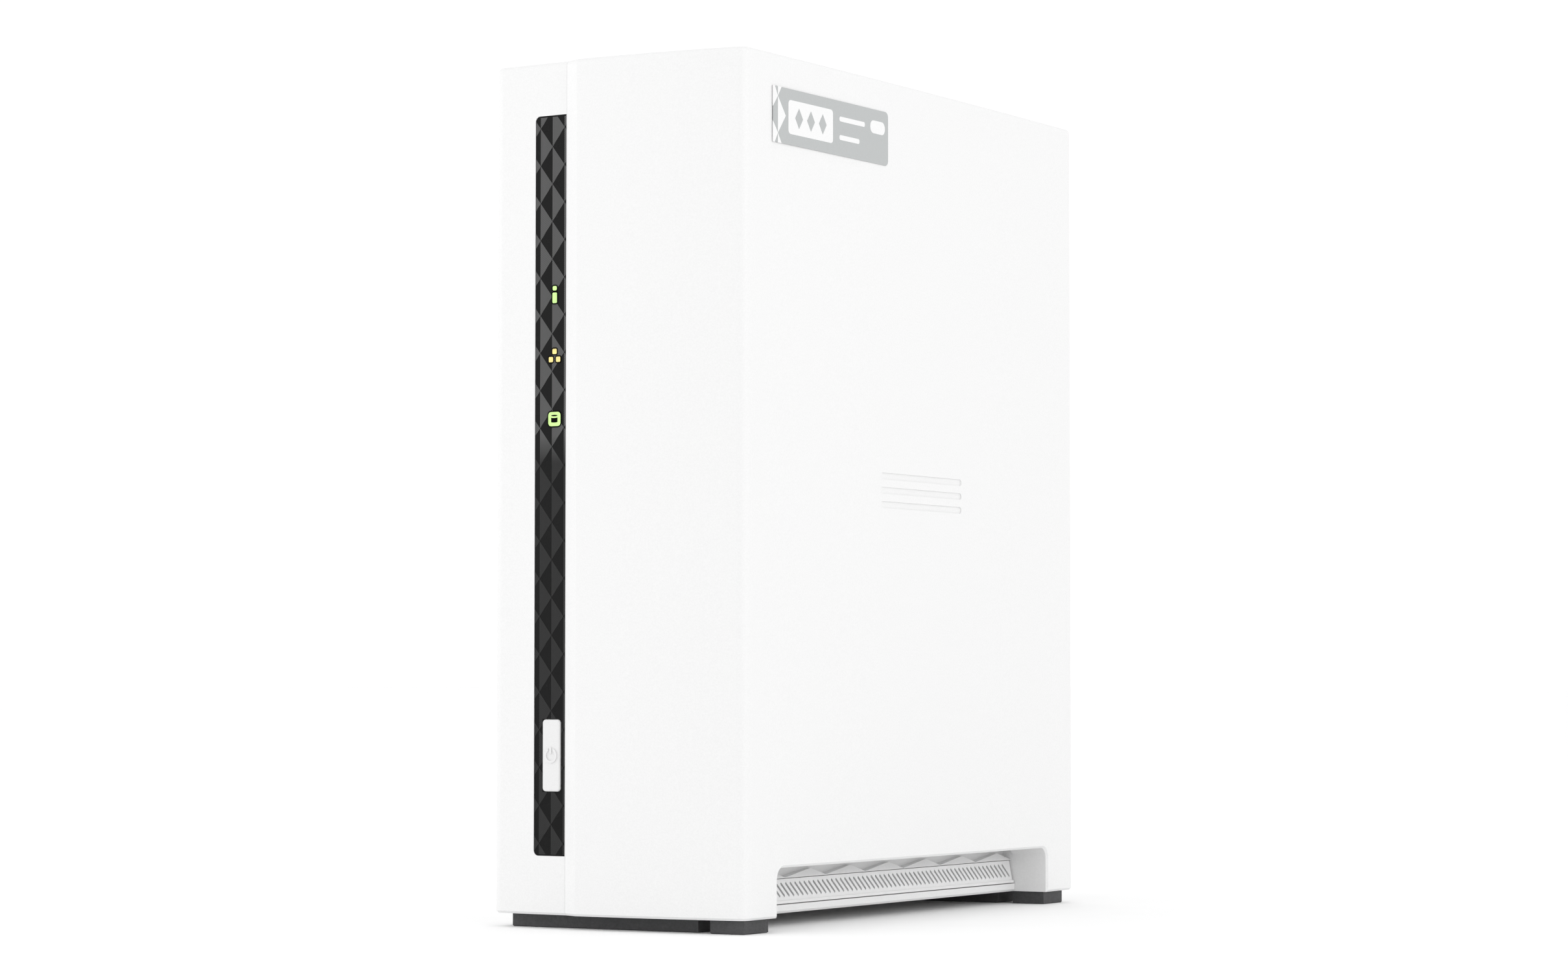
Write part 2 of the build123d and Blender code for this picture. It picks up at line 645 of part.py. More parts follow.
with BuildPart() as coin_cell:
    rod((BOARD_FACE + 0.6, CELL_Y, CELL_Z), (1, 0, 0), 10.0, 3.2)
    fillet(edges().group_by(Axis.X)[-1], 0.5)
save(coin_cell, "coin_cell")

with BuildPart() as buzzer:
    rod((BOARD_FACE, 5, 96), (1, 0, 0), 4.6, 4.2)
    rod((BOARD_FACE + 3.2, 5, 96), (1, 0, 0), 1.0, 2, Mode.SUBTRACT)
save(buzzer, "buzzer")

# the ports look out of the rear panel
with BuildPart() as network_jack:
    block((BOARD_FACE, 54.5, 44), (-11.9, 75.9, 60))
    block((-23.2, 62, 46.1), (-15.2, 76, 57.9), Mode.SUBTRACT)
    block((-15.3, 62, 49.0), (-13.4, 76, 55.0), Mode.SUBTRACT)
save(network_jack, "network_jack")

for name, middle in (("fast_usb_port", 75.3), ("usb_port", 95.3)):
    with BuildPart() as usb_port:
        block((BOARD_FACE, 58, middle - 7.2), (-18.4, 75.9, middle + 7.2))
        block((-24.5, 61, middle - 6.2), (-19.3, 76, middle + 6.2), Mode.SUBTRACT)
        block((-22.2, 60.5, middle - 5.5), (-20.3, 73.5, middle + 5.5))
    save(usb_port, name)

with BuildPart() as dc_inlet:
    block((BOARD_FACE, 61, 22), (-14.4, 75.9, 31))
    rod((-19.9, 76, 26.5), (0, -1, 0), 2.85, 10.0, Mode.SUBTRACT)
    rod((-19.9, 65.5, 26.5), (0, 1, 0), 1.0, 9.0)
save(dc_inlet, "dc_inlet")

with BuildPart() as reset_switch:
    block((BOARD_FACE, 63, 34.2), (-20.8, 68, 38.8))
    rod((-23.0, 68.5, 36.5), (0, -1, 0), 1.25, 3.0, Mode.SUBTRACT)
save(reset_switch, "reset_switch")

with BuildPart() as reset_button:
    rod((-23.0, 66.1, 36.5), (0, 1, 0), 1.2, 3.4)
    fillet(edges().group_by(Axis.Y)[-1], 0.3)
save(reset_button, "reset_button")

# ---------------------------------------------------------------- drive connector
with BuildPart() as riser_connector:
    block((BOARD_FACE, -32, 18.5), (BOARD_FACE + 6, 14, 22))
save(riser_connector, "riser_connector")

with BuildPart() as drive_link_board:
    block((BOARD_FACE, -35, 22), (12, 17, 23.6))
save(drive_link_board, "drive_link_board")

with BuildPart() as drive_connector:
    block((2.6, -32, 23.6), (11, 16, 31.8))
    block((6.0, -28, 31.8), (7.4, 12, 36.4))
    block((2.5, -27, 30.0), (4.6, 11, 32.0), Mode.SUBTRACT)
save(drive_connector, "drive_connector")

with BuildPart() as front_ribbon:
    # a flat lead from the front board to the main board
    with BuildSketch(Plane.XY.offset(44)):
        with BuildLine():
            route = FilletPolyline(
                (-21.1, -67.5), (-20.9, -61.5), (-24.7, -57.5), (-24.7, -47.4), radius=1.6
            )
            offset(amount=0.25)
        make_face()
    extrude(amount=9)
save(front_ribbon, "front_ribbon")

with BuildPart() as ribbon_socket:
    block((BOARD_FACE, -47.0, 43), (BOARD_FACE + 2.2, -43.5, 54))
save(ribbon_socket, "ribbon_socket")

# ---------------------------------------------------------------- drive bracket
with BuildPart() as drive_bracket:
    # a stamped plate on four posts, with ears that hold the drive by its edges
    plate = BRACKET_X + BRACKET_T
    with BuildSketch(Plane.YZ.offset(BRACKET_X)):
        with BuildLine():
            Polyline(
                (-65, 15),
                (-54, 15),
                (-54, 40),
                (50.6, 40),
                (50.6, 105),
                (57.5, 105),
                (57.5, 186),
                (-65, 186),
                close=True,
            )
        make_face()
        for z in (72, 118):
            with Locations((-2, z)):
                RectangleRounded(76, 34, 4, mode=Mode.SUBTRACT)
        for y, z in BRACKET_POSTS:
            with Locations((y, z)):
                Circle(1.7, mode=Mode.SUBTRACT)
    extrude(amount=BRACKET_T)
    for z in DRIVE_HOLES_Z:
        block((BRACKET_X, DRIVE_Y - 1.0, z - 9), (17, DRIVE_Y, z + 9))
        block((BRACKET_X, DRIVE_Y + DRIVE_W, z - 9), (17, DRIVE_Y + DRIVE_W + 1.0, z + 9))
        rod((DRIVE_HOLE_X, DRIVE_Y - 2, z), (0, 1, 0), 1.8, DRIVE_W + 4, Mode.SUBTRACT)
save(drive_bracket, "drive_bracket")

with BuildPart() as bracket_screws:
    for y, z in BRACKET_POSTS:
        rod((BRACKET_X + BRACKET_T, y, z), (1, 0, 0), 2.9, 1.5)
        rod((BRACKET_X + BRACKET_T, y, z), (-1, 0, 0), 1.2, 6.0)
save(bracket_screws, "bracket_screws")

with BuildPart() as drive_screws:
    for z in DRIVE_HOLES_Z:
        for face, inward in ((DRIVE_Y - 1.0, 1), (DRIVE_Y + DRIVE_W + 1.0, -1)):
            rod((DRIVE_HOLE_X, face, z), (0, -inward, 0), 3.2, 1.6)
            rod((DRIVE_HOLE_X, face, z), (0, inward, 0), 1.55, 4.4)
save(drive_screws, "drive_screws")

# ---------------------------------------------------------------- hard drive
with BuildPart() as drive_base:
    # the casting: a tub for the platters and the head arm, open to +X
    block((DRIVE_X + 1.6, DRIVE_Y, DRIVE_Z), (LID_X, DRIVE_Y + DRIVE_W, DRIVE_TOP))
    fillet(edges().filter_by(Axis.X), 2.5)
    with BuildSketch(Plane.YZ.offset(LID_X)):
        with Locations((DRIVE_MID_Y, SPINDLE_Z)):
            Circle(PLATTER_R + 1.3)
        with Locations((DRIVE_MID_Y, (SPINDLE_Z + 50) / 2)):
            RectangleRounded(88, SPINDLE_Z - 50, 6)
    extrude(amount=-(LID_X - DRIVE_X - 4.1), mode=Mode.SUBTRACT)
    rod((DRIVE_X + 4.0, DRIVE_MID_Y, SPINDLE_Z), (1, 0, 0), 13, 2.4)
    rod((DRIVE_X + 3.2, DRIVE_MID_Y, SPINDLE_Z), (1, 0, 0), 3.05, 4, Mode.SUBTRACT)
    rod((DRIVE_X + 4.0, PIVOT_Y, PIVOT_Z), (1, 0, 0), 9, 2.4)
    rod((DRIVE_X + 3.2, PIVOT_Y, PIVOT_Z), (1, 0, 0), 3.05, 4, Mode.SUBTRACT)
    for z in DRIVE_HOLES_Z:
        rod((DRIVE_HOLE_X, DRIVE_Y - 1, z), (0, 1, 0), 1.6, 5.5, Mode.SUBTRACT)
        rod((DRIVE_HOLE_X, DRIVE_Y + DRIVE_W + 1, z), (0, -1, 0), 1.6, 5.5, Mode.SUBTRACT)
    block((DRIVE_X, -30, DRIVE_Z - 1), (9.0, 14, DRIVE_Z + 5.2), Mode.SUBTRACT)
save(drive_base, "drive_base")

with BuildPart() as drive_lid:
    block((LID_X, DRIVE_Y + 1, DRIVE_Z + 4), (LID_X + 1.1, DRIVE_Y + DRIVE_W - 1, DRIVE_TOP - 1))
    fillet(edges().filter_by(Axis.X), 5)
    with BuildSketch(Plane.YZ.offset(LID_X + 1.1)):
        with Locations((DRIVE_MID_Y, SPINDLE_Z)):
            Circle(PLATTER_R - 3)
        with Locations((PIVOT_Y - 12, PIVOT_Z - 4)):
            RectangleRounded(44, 34, 6)
    extrude(amount=0.4)
save(drive_lid, "drive_lid")

LID_SCREWS = [
    (DRIVE_Y + 5, DRIVE_TOP - 6),
    (DRIVE_Y + DRIVE_W - 5, DRIVE_TOP - 6),
    (DRIVE_Y + 5, DRIVE_Z + 9),
    (DRIVE_Y + DRIVE_W - 5, DRIVE_Z + 9),
]
with BuildPart() as lid_screws:
    for y, z in LID_SCREWS:
        rod((LID_X + 1.1, y, z), (1, 0, 0), 2.4, 0.9)
        rod((LID_X + 1.5, y, z), (1, 0, 0), 0.9, 1, Mode.SUBTRACT)
save(lid_screws, "lid_screws")

with BuildPart() as drive_circuit_board:
    with BuildSketch(Plane.YZ.offset(DRIVE_X + 0.2)):
        with Locations((DRIVE_MID_Y, 74)):
            RectangleRounded(96, 70, 2)
        with Locations((DRIVE_MID_Y, SPINDLE_Z)):
            Circle(26, mode=Mode.SUBTRACT)
    extrude(amount=1.4)
save(drive_circuit_board, "drive_circuit_board")

with BuildPart() as platter_stack:
    # three discs on a hub that runs in the base
    rod((DRIVE_X + 3.6, DRIVE_MID_Y, SPINDLE_Z), (1, 0, 0), 3.0, 4.0)
    rod((DRIVE_X + 6.8, DRIVE_MID_Y, SPINDLE_Z), (1, 0, 0), 12.5, 16.0)
    for number in range(3):
        rod((DRIVE_X + 8.6 + DISC_PITCH * number, DRIVE_MID_Y, SPINDLE_Z), (1, 0, 0), PLATTER_R, 1.27)
    with BuildSketch(Plane.YZ.offset(DRIVE_X + 22.8)):
        with Locations((DRIVE_MID_Y, SPINDLE_Z)):
            with PolarLocations(8.5, 6):
                Circle(1.2)
    extrude(amount=-2, mode=Mode.SUBTRACT)
save(platter_stack, "platter_stack")

with BuildPart() as head_arm:
    # the pivot sleeve, two arms that reach between the discs, and the coil's tail
    rod((DRIVE_X + 3.6, PIVOT_Y, PIVOT_Z), (1, 0, 0), 3.0, 4.0)
    rod((DRIVE_X + 6.8, PIVOT_Y, PIVOT_Z), (1, 0, 0), 7.0, 16.0)
    for number in range(2):
        with BuildSketch(arm_plane(DRIVE_X + 11.3 + DISC_PITCH * number)):
            with BuildLine():
                Polyline((0, -6.5), (ARM_LENGTH, -1.5), (ARM_LENGTH, 1.5), (0, 6.5), close=True)
            make_face()
        extrude(amount=1.0)
    with BuildSketch(arm_plane(DRIVE_X + 12.5)):
        with BuildLine():
            Polyline((0, -5), (-14, -8), (-14, 8), (0, 5), close=True)
        make_face()
    extrude(amount=4.0)
save(head_arm, "head_arm")

# ---------------------------------------------------------------- fan
with BuildPart() as fan_frame:
    # a square frame, four struts, and the fixed hub that the rotor's shaft runs in
    half = FAN_SIZE / 2
    block((-half, PANEL_FRONT - FAN_T, FAN_Z - half), (half, PANEL_FRONT, FAN_Z + half))
    fillet(edges().filter_by(Axis.Y), 3)
    rod((0, PANEL_FRONT + 1, FAN_Z), (0, -1, 0), FAN_BORE, FAN_T + 2, Mode.SUBTRACT)
    for x in (-FAN_HOLE, FAN_HOLE):
        for z in (FAN_Z - FAN_HOLE, FAN_Z + FAN_HOLE):
            rod((x, PANEL_FRONT + 1, z), (0, -1, 0), 2.2, FAN_T + 2, Mode.SUBTRACT)
    with BuildSketch(Plane.XZ.offset(-PANEL_FRONT)):
        with Locations((0, FAN_Z)):
            Circle(11)
            Rectangle(2 * FAN_BORE + 1, 2.6, rotation=45)
            Rectangle(2 * FAN_BORE + 1, 2.6, rotation=-45)
    extrude(amount=2.5)
    rod((0, PANEL_FRONT - 2.5, FAN_Z), (0, -1, 0), 10.5, 8.4)
    rod((0, PANEL_FRONT - 11.5, FAN_Z), (0, 1, 0), FAN_SHAFT + 0.05, 10.5, Mode.SUBTRACT)
save(fan_frame, "fan_frame")

with BuildPart() as fan_rotor:
    # seven pitched blades round a cup, with the shaft in its middle
    middle = PANEL_FRONT - 8.5
    for number in range(BLADES):
        turn = radians(360 / BLADES * number)
        outward = Vector(cos(turn), 0, sin(turn))
        around = Vector(-sin(turn), 0, cos(turn))
        chord = around * cos(radians(BLADE_PITCH)) + Vector(0, 1, 0) * sin(radians(BLADE_PITCH))
        place = Plane(
            origin=outward * 20 + Vector(0, middle, FAN_Z), x_dir=outward, z_dir=outward.cross(chord)
        )
        with Locations(place):
            Box(17, 14, 1.2)
    rod((0, middle - 5.1, FAN_Z), (0, 1, 0), FAN_BORE - 0.9, 10.2, Mode.INTERSECT)
    rod((0, middle - 5.4, FAN_Z), (0, 1, 0), 13.0, 10.8)
    fillet(edges().filter_by(GeomType.CIRCLE).group_by(Axis.Y)[0], 1.0)
    rod((0, middle - 4.2, FAN_Z), (0, 1, 0), 11.8, 12, Mode.SUBTRACT)
    rod((0, middle - 4.3, FAN_Z), (0, 1, 0), FAN_SHAFT, 11.2)
save(fan_rotor, "fan_rotor")

with BuildPart() as fan_screws:
    for x in (-FAN_HOLE, FAN_HOLE):
        for z in (FAN_Z - FAN_HOLE, FAN_Z + FAN_HOLE):
            rod((x, PANEL_REAR, z), (0, 1, 0), 3.3, 1.5)
            rod((x, PANEL_REAR, z), (0, -1, 0), 2.15, 9.0)
            with BuildSketch(Plane(origin=(x, PANEL_REAR + 1.5, z), z_dir=(0, 1, 0))):
                Rectangle(4.0, 0.7)
                Rectangle(0.7, 4.0)
            extrude(amount=-0.9, mode=Mode.SUBTRACT)
save(fan_screws, "fan_screws")

with BuildPart() as fan_socket:
    block((BOARD_FACE, 51, 88), (BOARD_FACE + 4, 56, 95))
save(fan_socket, "fan_socket")

with BuildPart() as fan_cable:
    # the fan's lead, from its frame down to the socket
    with BuildLine():
        lead = FilletPolyline(
            (-23.4, PANEL_FRONT - FAN_T, 118), (-23.4, 53.5, 118), (-23.4, 53.5, 95), radius=3.0
        )
    with BuildSketch(Plane(origin=lead @ 0, z_dir=lead % 0)):
        Circle(0.9)
    sweep(path=lead)
save(fan_cable, "fan_cable")

# ---------------------------------------------------------------- screws at the rear
with BuildPart() as panel_screws:
    for z in PANEL_SCREWS_Z:
        rod((3 - INNER_X, PANEL_REAR, z), (0, 1, 0), 2.6, 1.4)
        rod((3 - INNER_X, PANEL_REAR, z), (0, -1, 0), 1.1, 7.5)
save(panel_screws, "panel_screws")

with BuildPart() as cover_screws:
    # these hold the cover's hooks against the rear panel
    for z in HOOKS_Z:
        rod((HOOK_X, PANEL_REAR + 1.25, z), (0, 1, 0), 3.0, 1.4)
        rod((HOOK_X, PANEL_REAR + 1.25, z), (0, -1, 0), 1.22, 7.5)
        with BuildSketch(Plane(origin=(HOOK_X, PANEL_REAR + 2.65, z), z_dir=(0, 1, 0))):
            Rectangle(3.6, 0.7)
            Rectangle(0.7, 3.6)
        extrude(amount=-0.8, mode=Mode.SUBTRACT)
save(cover_screws, "cover_screws")
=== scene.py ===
import json
import math
import random

import bmesh
import bpy
from mathutils import Matrix, Vector


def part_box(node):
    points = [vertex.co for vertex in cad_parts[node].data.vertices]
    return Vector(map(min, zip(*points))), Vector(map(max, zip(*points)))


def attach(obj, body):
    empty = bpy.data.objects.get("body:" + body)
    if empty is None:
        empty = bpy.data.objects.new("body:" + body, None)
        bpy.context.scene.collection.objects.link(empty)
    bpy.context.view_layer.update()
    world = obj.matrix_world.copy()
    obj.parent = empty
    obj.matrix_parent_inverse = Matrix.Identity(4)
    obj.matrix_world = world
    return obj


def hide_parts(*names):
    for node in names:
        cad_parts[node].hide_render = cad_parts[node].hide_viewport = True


# The looks of a one-bay network storage unit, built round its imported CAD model. Places and sizes
# are in millimetres in the model's frame, and MM turns them into Blender's metres. The camera, the
# lights and the window's fade are given in metres. The pieces on the label, the board and the fan,
# and the heights of those in the sockets, take their places from the CAD parts' boxes.

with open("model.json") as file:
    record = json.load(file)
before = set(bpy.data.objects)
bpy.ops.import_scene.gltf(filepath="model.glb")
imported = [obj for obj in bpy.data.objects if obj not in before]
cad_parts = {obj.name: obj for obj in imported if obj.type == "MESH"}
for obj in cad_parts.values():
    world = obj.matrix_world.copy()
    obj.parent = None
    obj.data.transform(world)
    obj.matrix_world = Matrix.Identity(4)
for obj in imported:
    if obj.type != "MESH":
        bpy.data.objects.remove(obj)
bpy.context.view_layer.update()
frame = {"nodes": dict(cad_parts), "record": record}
MM = 0.001


def corners_of(node):
    """A CAD part's lowest and highest corners at rest, in millimetres."""
    low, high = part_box(node)
    return Vector(low) / MM, Vector(high) / MM


def middle_of(node):
    low, high = corners_of(node)
    return (low + high) / 2


# ---------------------------------------------------------------- camera, in metres
CAMERA_PLACE = (0.4757, -0.80576, 0.05323)
CAMERA_FORWARD = (-0.506589, 0.86106, 0.044078)
CAMERA_UP = (0.022247, -0.038052, 0.999028)
LENS, SENSOR_WIDTH = 92.864, 36.0
SHIFT_X, SHIFT_Y = -0.01094, 0.00904


def place_camera():
    data = bpy.data.cameras.new("camera")
    camera = bpy.data.objects.new("camera", data)
    bpy.context.scene.collection.objects.link(camera)
    forward = Vector(CAMERA_FORWARD).normalized()
    right = forward.cross(Vector(CAMERA_UP)).normalized()
    turn = Matrix((right, right.cross(forward), -forward)).transposed()
    camera.matrix_world = Matrix.Translation(CAMERA_PLACE) @ turn.to_4x4()
    data.lens = LENS
    data.sensor_width = SENSOR_WIDTH
    data.shift_x, data.shift_y = SHIFT_X, SHIFT_Y
    data.clip_start = 0.01
    bpy.context.scene.camera = camera


place_camera()


# ---------------------------------------------------------------- materials
GLOW = 0.3  # how strongly the lit icons shine
NOISE_LOW, NOISE_HIGH = 0.3, 0.7  # the span that a noise texture's values mostly fill
FADE_LOW, FADE_HIGH = 0.101, 0.107  # metres: the window's pattern is dimmer below this band of heights


class Nodes:
    """A material's node tree, with short ways to add what these materials share."""

    def __init__(self, name, color, rough, **sockets):
        self.material = bpy.data.materials.new(name)
        self.material.use_nodes = True
        self.tree = self.material.node_tree
        self.shader = self.tree.nodes["Principled BSDF"]
        self.shader.inputs["Base Color"].default_value = (*color, 1)
        self.shader.inputs["Roughness"].default_value = rough
        for socket, value in sockets.items():
            self.shader.inputs[socket.replace("_", " ")].default_value = value
        self.material.diffuse_color = (*color, 1)
        self.coord = self.tree.nodes.new("ShaderNodeTexCoord")

    def add(self, kind, **values):
        node = self.tree.nodes.new("ShaderNode" + kind)
        for key, value in values.items():
            if key in node.inputs:
                node.inputs[key].default_value = value
            else:
                setattr(node, key, value)
        return node

    def link(self, out, into):
        self.tree.links.new(out, into)

    def noise(self, scale, detail=3.0, stretch=(1, 1, 1)):
        """Noise in the object's own metres, stretched along an axis for brushed metal."""
        mapping = self.add("Mapping")
        mapping.inputs["Scale"].default_value = stretch
        self.link(self.coord.outputs["Object"], mapping.inputs["Vector"])
        noise = self.add("TexNoise", Scale=scale, Detail=detail)
        self.link(mapping.outputs["Vector"], noise.inputs["Vector"])
        return noise.outputs["Fac"]

    def ramp(self, value, low, high, start=NOISE_LOW, end=NOISE_HIGH):
        """Maps a value's span, as a rule that of a noise, onto another range."""
        ramp = self.add("MapRange")
        ramp.inputs["From Min"].default_value = start
        ramp.inputs["From Max"].default_value = end
        ramp.inputs["To Min"].default_value = low
        ramp.inputs["To Max"].default_value = high
        self.link(value, ramp.inputs["Value"])
        return ramp.outputs["Result"]

    def bump(self, value, height):
        bump = self.add("Bump", Strength=1.0, Distance=height)
        self.link(value, bump.inputs["Height"])
        self.link(bump.outputs["Normal"], self.shader.inputs["Normal"])

    def blend(self, factor, dark, light):
        """Colours the shader from dark to light by a factor from 0 to 1."""
        mix = self.add("Mix", data_type="RGBA")
        colors = [s for s in mix.inputs if s.type == "RGBA"]
        colors[0].default_value = (*dark, 1)
        colors[1].default_value = (*light, 1)
        self.link(factor, mix.inputs["Factor"])
        result = next(s for s in mix.outputs if s.type == "RGBA")
        self.link(result, self.shader.inputs["Base Color"])

    def mottle(self, value, dark, light):
        self.blend(self.ramp(value, 0.0, 1.0), dark, light)


def shade(color, factor):
    return tuple(c * factor for c in color)


def plastic(name, color, rough, grain=2600, depth=0.00002, spread=0.04, **sockets):
    """Moulded plastic with a fine spark-eroded grain."""
    n = Nodes(name, color, rough, **sockets)
    fine = n.noise(grain)
    n.mottle(fine, shade(color, 1 - spread), color)
    n.link(n.ramp(n.noise(grain * 0.4), rough - 0.06, rough + 0.06), n.shader.inputs["Roughness"])
    n.bump(fine, depth)
    return n.material


def metal(name, color, rough, stretch=(1, 1, 1), scale=900, spread=0.12):
    """Bare or plated metal. A stretch gives it a brushed direction."""
    n = Nodes(name, color, rough, Metallic=1.0)
    lines = n.noise(scale, 4.0, stretch)
    n.mottle(lines, shade(color, 1 - spread), color)
    n.link(n.ramp(lines, rough - 0.07, rough + 0.1), n.shader.inputs["Roughness"])
    n.bump(lines, 0.00001)
    return n.material


def circuit(name, color):
    """Solder mask over copper, whose broad fields of traces show as a lighter green."""
    n = Nodes(name, color, 0.32, Coat_Weight=0.4, Coat_Roughness=0.15)
    brick = n.add("TexBrick", Scale=170.0)
    brick.inputs["Mortar Size"].default_value = 0.06
    brick.inputs["Color1"].default_value = (*color, 1)
    brick.inputs["Color2"].default_value = (*shade(color, 1.35), 1)
    brick.inputs["Mortar"].default_value = (*shade(color, 1.9), 1)
    turn = n.add("Mapping")
    turn.inputs["Rotation"].default_value = (0, math.pi / 2, 0)
    n.link(n.coord.outputs["Object"], turn.inputs["Vector"])
    n.link(turn.outputs["Vector"], brick.inputs["Vector"])
    n.link(brick.outputs["Color"], n.shader.inputs["Base Color"])
    n.bump(brick.outputs["Fac"], 0.00003)
    return n.material


def lit(name, color):
    """A light pipe's face: it glows in its own colour, a little unevenly."""
    n = Nodes(name, color, 0.35)
    n.shader.inputs["Emission Color"].default_value = (*color, 1)
    n.shader.inputs["Emission Strength"].default_value = GLOW
    n.mottle(n.noise(900), shade(color, 0.82), color)
    return n.material


def etched(name, upper, lower):
    """The window's etched film, whose tone falls off half way down."""
    n = Nodes(name, upper, 0.45, Specular_IOR_Level=0.1)
    height = n.add("SeparateXYZ")
    n.link(n.coord.outputs["Object"], height.inputs["Vector"])
    n.blend(n.ramp(height.outputs["Z"], 0.0, 1.0, FADE_LOW, FADE_HIGH), lower, upper)
    grain = n.noise(900)
    n.link(n.ramp(grain, 0.4, 0.5), n.shader.inputs["Roughness"])
    n.bump(grain, 0.000004)
    return n.material


MATERIALS = {
    "shell_white": plastic("shell_white", (0.815, 0.815, 0.815), 0.52),
    "window_black": plastic("window_black", (0.0055,) * 3, 0.25, 500, 0.000002, 0.1, Specular_IOR_Level=0.1),
    "button_white": plastic("button_white", (0.76, 0.76, 0.76), 0.4, 3200, 0.00001),
    "light_green": lit("light_green", (0.52, 0.80, 0.26)),
    "light_amber": lit("light_amber", (0.80, 0.65, 0.23)),
    "foot_rubber": plastic("foot_rubber", (0.062, 0.062, 0.064), 0.75, 2200, 0.00003, 0.2),
    "label_grey": plastic("label_grey", (0.445, 0.46, 0.46), 0.42, 3500, 0.000006),
    "panel_grey": plastic("panel_grey", (0.80, 0.805, 0.81), 0.55),
    "fan_black": plastic("fan_black", (0.02, 0.02, 0.021), 0.45, 1800, 0.00002, 0.15),
    "circuit_green": circuit("circuit_green", (0.015, 0.11, 0.05)),
    "chip_black": plastic("chip_black", (0.02, 0.02, 0.022), 0.5, 2600, 0.00001, 0.15),
    "connector_black": plastic("connector_black", (0.025, 0.025, 0.027), 0.42, 2000, 0.00001, 0.15),
    "steel": metal("steel", (0.62, 0.62, 0.63), 0.3, (1, 1, 12)),
    "bracket_steel": metal("bracket_steel", (0.68, 0.69, 0.70), 0.38, (1, 14, 1)),
    "screw_steel": metal("screw_steel", (0.55, 0.55, 0.56), 0.28),
    "cast_aluminium": metal("cast_aluminium", (0.52, 0.53, 0.54), 0.55, scale=1500, spread=0.2),
    "plain_aluminium": metal("plain_aluminium", (0.78, 0.79, 0.80), 0.32, (1, 10, 1)),
    "disc_mirror": metal("disc_mirror", (0.82, 0.82, 0.83), 0.1),
    "ribbon_white": plastic("ribbon_white", (0.72, 0.72, 0.70), 0.5),
    "wire_black": plastic("wire_black", (0.015, 0.015, 0.015), 0.5),
    "lamp_cream": plastic("lamp_cream", (0.80, 0.74, 0.50), 0.35),
}
# materials of pieces that the CAD has no slot for
EXTRA = {
    "window_field": etched("window_field", (0.068,) * 3, (0.022,) * 3),
    "window_lines": etched("window_lines", (0.12,) * 3, (0.034,) * 3),
    "margin_black": plastic("margin_black", (0.002,) * 3, 0.5, 900, 0.000002, 0.2, Specular_IOR_Level=0.03),
    "print_white": plastic("print_white", (0.83, 0.83, 0.83), 0.45, 3500, 0.000004),
    "gold": metal("gold", (0.90, 0.66, 0.28), 0.25),
    "insert_blue": plastic("insert_blue", (0.02, 0.13, 0.50), 0.4, 2000, 0.00001),
    "ceramic": plastic("ceramic", (0.30, 0.22, 0.15), 0.5, 2600, 0.00001),
}
SLOT_OF = {row["node"]: row["material_slot"] for row in frame["record"]["subparts"]}
for node, part in frame["nodes"].items():
    part.data.materials.clear()
    part.data.materials.append(MATERIALS[SLOT_OF[node]])


# ---------------------------------------------------------------- mesh helpers
def piece(name, build, material, body, stands_for=()):
    """Runs a mesh builder in millimetres, and leaves a finished piece riding on a body."""
    mesh = bmesh.new()
    build(mesh)
    bmesh.ops.scale(mesh, vec=(MM, MM, MM), verts=mesh.verts)
    bmesh.ops.recalc_face_normals(mesh, faces=mesh.faces)
    data = bpy.data.meshes.new(name)
    mesh.to_mesh(data)
    mesh.free()
    made = bpy.data.objects.new(name, data)
    bpy.context.scene.collection.objects.link(made)
    data.materials.append(material)
    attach(made, body)
    if stands_for:
        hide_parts(*stands_for)
    return made


def prism(mesh, outline, at, low, high):
    """A closed slab: a flat outline between two levels, put in place by a function of (u, v, level)."""
    rings = [[mesh.verts.new(at(u, v, level)) for u, v in outline] for level in (low, high)]
    mesh.faces.new(rings[0][::-1])
    mesh.faces.new(rings[1])
    count = len(outline)
    for i in range(count):
        j = (i + 1) % count
        mesh.faces.new((rings[0][i], rings[0][j], rings[1][j], rings[1][i]))


CORNER_STEPS = 5


def rounded(u, v, wide, tall, radius):
    """A rounded rectangle's outline about its middle."""
    points = []
    for corner, (su, sv) in enumerate(((1, 1), (-1, 1), (-1, -1), (1, -1))):
        cu, cv = u + su * (wide / 2 - radius), v + sv * (tall / 2 - radius)
        for step in range(CORNER_STEPS + 1):
            turn = math.pi / 2 * (corner + step / CORNER_STEPS)
            points.append((cu + radius * math.cos(turn), cv + radius * math.sin(turn)))
    return points


def chip(mesh, low, high, edge=0.12):
    """A small block between two corners, with every edge bevelled."""
    size = [b - a for a, b in zip(low, high)]
    middle = [(a + b) / 2 for a, b in zip(low, high)]
    made = bmesh.ops.create_cube(mesh, size=1.0)["verts"]
    bmesh.ops.scale(mesh, vec=size, verts=made)
    bmesh.ops.translate(mesh, vec=middle, verts=made)
    edges = list({e for v in made for e in v.link_edges})
    width = min(edge, min(size) * 0.3)
    bmesh.ops.bevel(mesh, geom=edges, offset=width, segments=2, profile=0.5, affect="EDGES")


def cut(outline, tests):
    """Cuts a convex outline to where every test of a point gives zero or more."""
    for test in tests:
        kept = []
        for i, point in enumerate(outline):
            last = outline[i - 1]
            now, before = test(point), test(last)
            if (now >= 0) != (before >= 0):
                share = before / (before - now)
                kept.append(tuple(a + (b - a) * share for a, b in zip(last, point)))
            if now >= 0:
                kept.append(point)
        outline = kept
        if len(outline) < 3:
            return []
    return outline


def spaced(middle, count, pitch):
    """Evenly spaced values about a middle."""
    return [middle + (number - (count - 1) / 2) * pitch for number in range(count)]


